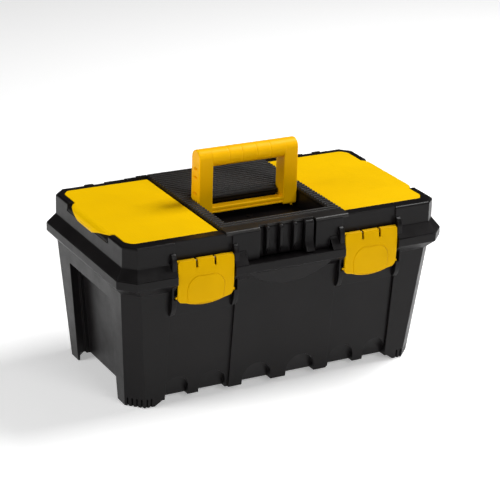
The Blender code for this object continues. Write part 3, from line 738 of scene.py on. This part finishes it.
def curl_tab(item, side):
    """Bends the flat tab down over the end wall."""
    start, radius, reach = TAB_BEND
    turn = math.radians(reach)
    bm = bmesh.new()
    bm.from_mesh(item.data)
    for step in range(11):
        x = side * (start + step * radius * turn / 10.0) * MM
        slice_at(bm, (x, 0, 0), (1, 0, 0))
    for vert in bm.verts:
        x, z = abs(vert.co.x) / MM, vert.co.z / MM
        if x <= start:
            continue
        angle = min((x - start) / radius, turn)
        rest = x - start - angle * radius
        depth = radius + z - 229.3
        vert.co.x = side * (start + depth * math.sin(angle) + rest * math.cos(angle)) * MM
        vert.co.z = (229.3 - radius + depth * math.cos(angle) - rest * math.sin(angle)) * MM
    bm.to_mesh(item.data)
    bm.free()


def cover_barrel(bm, side):
    prism(bm, "Y", circle(side * COVER_AXIS[0], COVER_AXIS[1], 2.6), COVER[2] + 0.5, COVER[3] - 0.5)


def build_cover(side, word):
    node_name = "organiser_lid_" + word
    plate = solid(f"organiser_plate_{word}", cover_plate, side)
    curl_tab(plate, side)
    finish(round_edges(plate, 0.8, 3, clean=False), COVERS, node_name, (node_name,))
    barrel = round_edges(solid(f"organiser_barrel_{word}", cover_barrel, side), 0.5)
    finish(barrel, COVERS, node_name, (node_name,))


def handle_profile():
    crown = arc(3.0, 290.0, 12.0, 0, 180, 20)
    return [(-7.0, 211.0), (13.0, 211.0), (15.0, 213.0)] + crown + [(-9.0, 213.0)]


def handle_frame(bm):
    prism(bm, "X", handle_profile(), -74.0, 74.0)


def handle_opening(bm):
    box(bm, -53.5, 53.5, -40.0, 40.0, 205.0, 310.0)


def grip(bm):
    """Round bar between the legs with four shallow rings."""
    levels = []
    for step in range(-110, 111):
        x = step * 0.5
        dip = max(0.45 * math.exp(-((x - ring) / 0.7) ** 2) for ring in (-29.6, -10.0, 11.5, 32.4))
        levels.append((x, circle(3.0, 289.4, 12.55 - dip, 48)))
    loft(bm, "X", levels)


def crossbar(bm):
    profile = [(-8.6, 214.6), (3.9, 214.6), (3.9, 222.7), (-7.2, 222.7), (-8.4, 221.9), (-8.4, 218.6),
               (-7.0, 218.2),
               (-7.0, 217.2), (-8.6, 216.8)]
    prism(bm, "X", profile, -55.0, 55.0)


def leg_slots(bm):
    for side in (-1, 1):
        for z in (276.0, 264.5, 242.0):
            box(bm, side * 73.2, side * 80.0, 0.0, 6.0, z - 1.0, z + 1.0)


def leg_nib(bm):
    box(bm, 66.0, 69.0, -7.0, -4.0, 208.6, 212.0)


def build_handle():
    legs = solid("handle_legs", handle_frame)
    combine(legs, ((handle_opening, "DIFFERENCE"), (leg_slots, "DIFFERENCE")))
    round_edges(legs, 1.6, 4)
    bar = solid("handle_grip", grip)
    bar.data.shade_smooth()
    lower = round_edges(solid("handle_crossbar", crossbar), 0.5)
    nib = round_edges(solid("handle_nib", leg_nib), 0.5)
    for item in (legs, bar, lower, nib):
        finish(item, YELLOW, "handle", ("handle",))


def latch_outline(centre):
    left, right = centre - 39.8, centre + 39.8
    points = arc(right - 10.0, 158.0, 10.0, -58, 0, 7) + arc(right - 3.5, 202.0, 3.5, 0, 90, 5)
    points += arc(left + 3.5, 202.0, 3.5, 90, 180, 5) + arc(left + 10.0, 158.0, 10.0, 180, 238, 7)
    points += [(centre + step * 3.0, 142.8 + 0.0068 * (step * 3.0) ** 2) for step in range(-9, 10)]
    return points


def latch_plate(bm, centre):
    prism(bm, "Y", latch_outline(centre), -128.0, -125.0)


def latch_slots(bm, centre):
    for offset in (-13.0, 13.0):
        box(bm, centre + offset - 1.4, centre + offset + 1.4, -132.0, -120.0, 195.0, 208.0)


def latch_arch(bm, centre):
    foot = [(centre + step * 2.8, 144.9 + 0.0068 * (step * 2.8) ** 2) for step in range(-9, 10)]
    top = arc(centre + 7.5, 165.5, 19.0, 0, 75, 8) + arc(centre - 7.5, 165.5, 19.0, 105, 180, 8)
    prism(bm, "Y", foot + top, -128.7, -127.0)


def crown(item):
    """Bows a latch a little, so that its middle stands proudest."""
    bm = bmesh.new()
    bm.from_mesh(item.data)
    for step in range(15):
        z = (144.0 + 4.2 * step) * MM
        slice_at(bm, (0, 0, z), (0, 0, 1))
    for vert in bm.verts:
        z = vert.co.z / MM
        bow = 2.6 * ((z - 181.0) / 25.0) ** 2 if z > 181.0 else 2.4 * ((z - 181.0) / 38.0) ** 2
        vert.co.y += bow * MM - 0.9 * MM
    bm.to_mesh(item.data)
    bm.free()


def latch_back(bm, centre):
    profile = [(-125.6, 199.6), (-121.5, 199.6), (-121.5, 205.0), (-124.6, 205.0)]
    for x0, x1 in ((-39.4, -14.6), (-11.4, 11.4), (14.6, 39.4)):
        prism(bm, "X", profile, centre + x0, centre + x1)


def latch_hook(bm, centre):
    box(bm, centre - 20.0, centre + 20.0, -126.0, -122.3, 170.0, 176.4)


def latch_lugs(bm, centre):
    for side in (-1, 1):
        box(bm, centre + side * 36.0, centre + side * 42.2, -126.6, -124.4, 155.4, 158.4)


def latch_barrel(bm, centre):
    for x0, x1 in ((-39.6, -14.6), (-11.4, 11.4), (14.6, 39.6)):
        prism(bm, "X", circle(*LATCH_PIN, 3.3), centre + x0, centre + x1)


def build_latch(side, word):
    centre = side * 122.0
    name = "latch_" + word
    plate = solid(name + "_plate", latch_plate, centre)
    combine(plate, ((latch_slots, "DIFFERENCE"), (latch_arch, "UNION")), centre)
    crown(plate)
    finish(round_edges(plate, 0.7, 3, clean=False), LATCHES, name, (name,))
    for spot, shapes, width in (
        ("back", latch_back, 0.5), ("hook", latch_hook, 0.5), ("lugs", latch_lugs, 0.5),
        ("barrel", latch_barrel, 0.4),
    ):
        piece = round_edges(solid(f"{name}_{spot}", shapes, centre), width, 3)
        finish(piece, LATCHES, name, (name,))


# ------------------------------------------------------------ stage

def build_stage():
    floor = solid("floor", lambda bm: box(bm, -6000.0, 6000.0, -6000.0, 6000.0, -12.0, -0.5))
    material = bpy.data.materials.new("pale_floor")
    material.use_nodes = True
    shader = material.node_tree.nodes["Principled BSDF"]
    shader.inputs["Base Color"].default_value = (0.93, 0.93, 0.93, 1.0)
    shader.inputs["Roughness"].default_value = 0.75
    shader.inputs["Emission Color"].default_value = (1.0, 1.0, 1.0, 1.0)
    shader.inputs["Emission Strength"].default_value = 0.34
    floor.data.materials.append(material)
    world = bpy.data.worlds.new("studio")
    bpy.context.scene.world = world
    world.use_nodes = True
    tree = world.node_tree
    sky = tree.nodes["Background"]
    where = tree.nodes.new("ShaderNodeTexCoord")
    parts = tree.nodes.new("ShaderNodeSeparateXYZ")
    tree.links.new(where.outputs["Generated"], parts.inputs["Vector"])
    tree.links.new(ramp(tree, parts.outputs["Z"], 0.42, 1.30, 0.22, 0.85), sky.inputs["Strength"])


def area_light(name, where, target, size, power, colour=(1.0, 1.0, 1.0)):
    data = bpy.data.lights.new(name, "AREA")
    data.shape = "RECTANGLE"
    data.size, data.size_y = size
    data.energy = power
    data.color = colour
    item = bpy.data.objects.new(name, data)
    item.location = where
    item.rotation_euler = (Vector(target) - Vector(where)).to_track_quat("-Z", "Y").to_euler()
    bpy.context.scene.collection.objects.link(item)


def build_lights():
    area_light("top_soft", (1.6, 0.05, 2.1), (0.0, 0.0, 0.15), (1.1, 1.1), 62.0)
    area_light("left_soft", (-2.2, 0.1, 1.0), (0.0, 0.0, 0.15), (1.2, 1.2), 28.0)
    area_light("front_soft", (0.3, -2.4, 1.5), (0.0, 0.0, 0.1), (1.4, 1.0), 24.0)


IMAGE_SIDE, SENSOR = 500.0, 36.0
FOCAL = 1935.29
AZIMUTH, ELEVATION, ROLL = 28.81, 21.6, 1.93
LOOK_AT, DISTANCE = (-115.02, -227.23, 251.87), 2343.07


def build_camera():
    """Camera at the photograph's viewing angle, from a fit to the box's corners."""
    data = bpy.data.cameras.new("camera")
    data.sensor_width = SENSOR
    data.lens = FOCAL / IMAGE_SIDE * SENSOR
    data.clip_end = 50.0
    item = bpy.data.objects.new("camera", data)
    azimuth, rise, roll = math.radians(AZIMUTH), math.radians(ELEVATION), math.radians(ROLL)
    back = Vector((-math.sin(azimuth) * math.cos(rise), -math.cos(azimuth) * math.cos(rise), math.sin(rise)))
    target = Vector((LOOK_AT[0], LOOK_AT[1] - BACK, LOOK_AT[2])) * MM
    right = Vector((0.0, 0.0, 1.0)).cross(back).normalized()
    up = back.cross(right)
    turned_right = right * math.cos(roll) + up * math.sin(roll)
    turned_up = up * math.cos(roll) - right * math.sin(roll)
    item.matrix_world = matrix_of(turned_right, turned_up, back, target + back * DISTANCE * MM)
    bpy.context.scene.collection.objects.link(item)
    bpy.context.scene.camera = item


def matrix_of(right, up, back, where):
    return Matrix((
        (right.x, up.x, back.x, where.x), (right.y, up.y, back.y, where.y),
        (right.z, up.z, back.z, where.z), (0.0, 0.0, 0.0, 1.0),
    ))


# ------------------------------------------------------------ assembly

def dress_cad_nodes():
    finishes = (("pin", STEEL), ("divider", BLACK), ("tote_tray", TRAY))
    for name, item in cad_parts.items():
        for key, material in finishes:
            if key in name:
                item.data.materials.clear()
                item.data.materials.append(material)


build_camera()
build_stage()
build_lights()
build_tub()
build_lid()
build_handle()
for side, word in ((-1, "left"), (1, "right")):
    build_cover(side, word)
    build_latch(side, word)
dress_cad_nodes()
scene = bpy.context.scene
scene.view_settings.view_transform = "Standard"
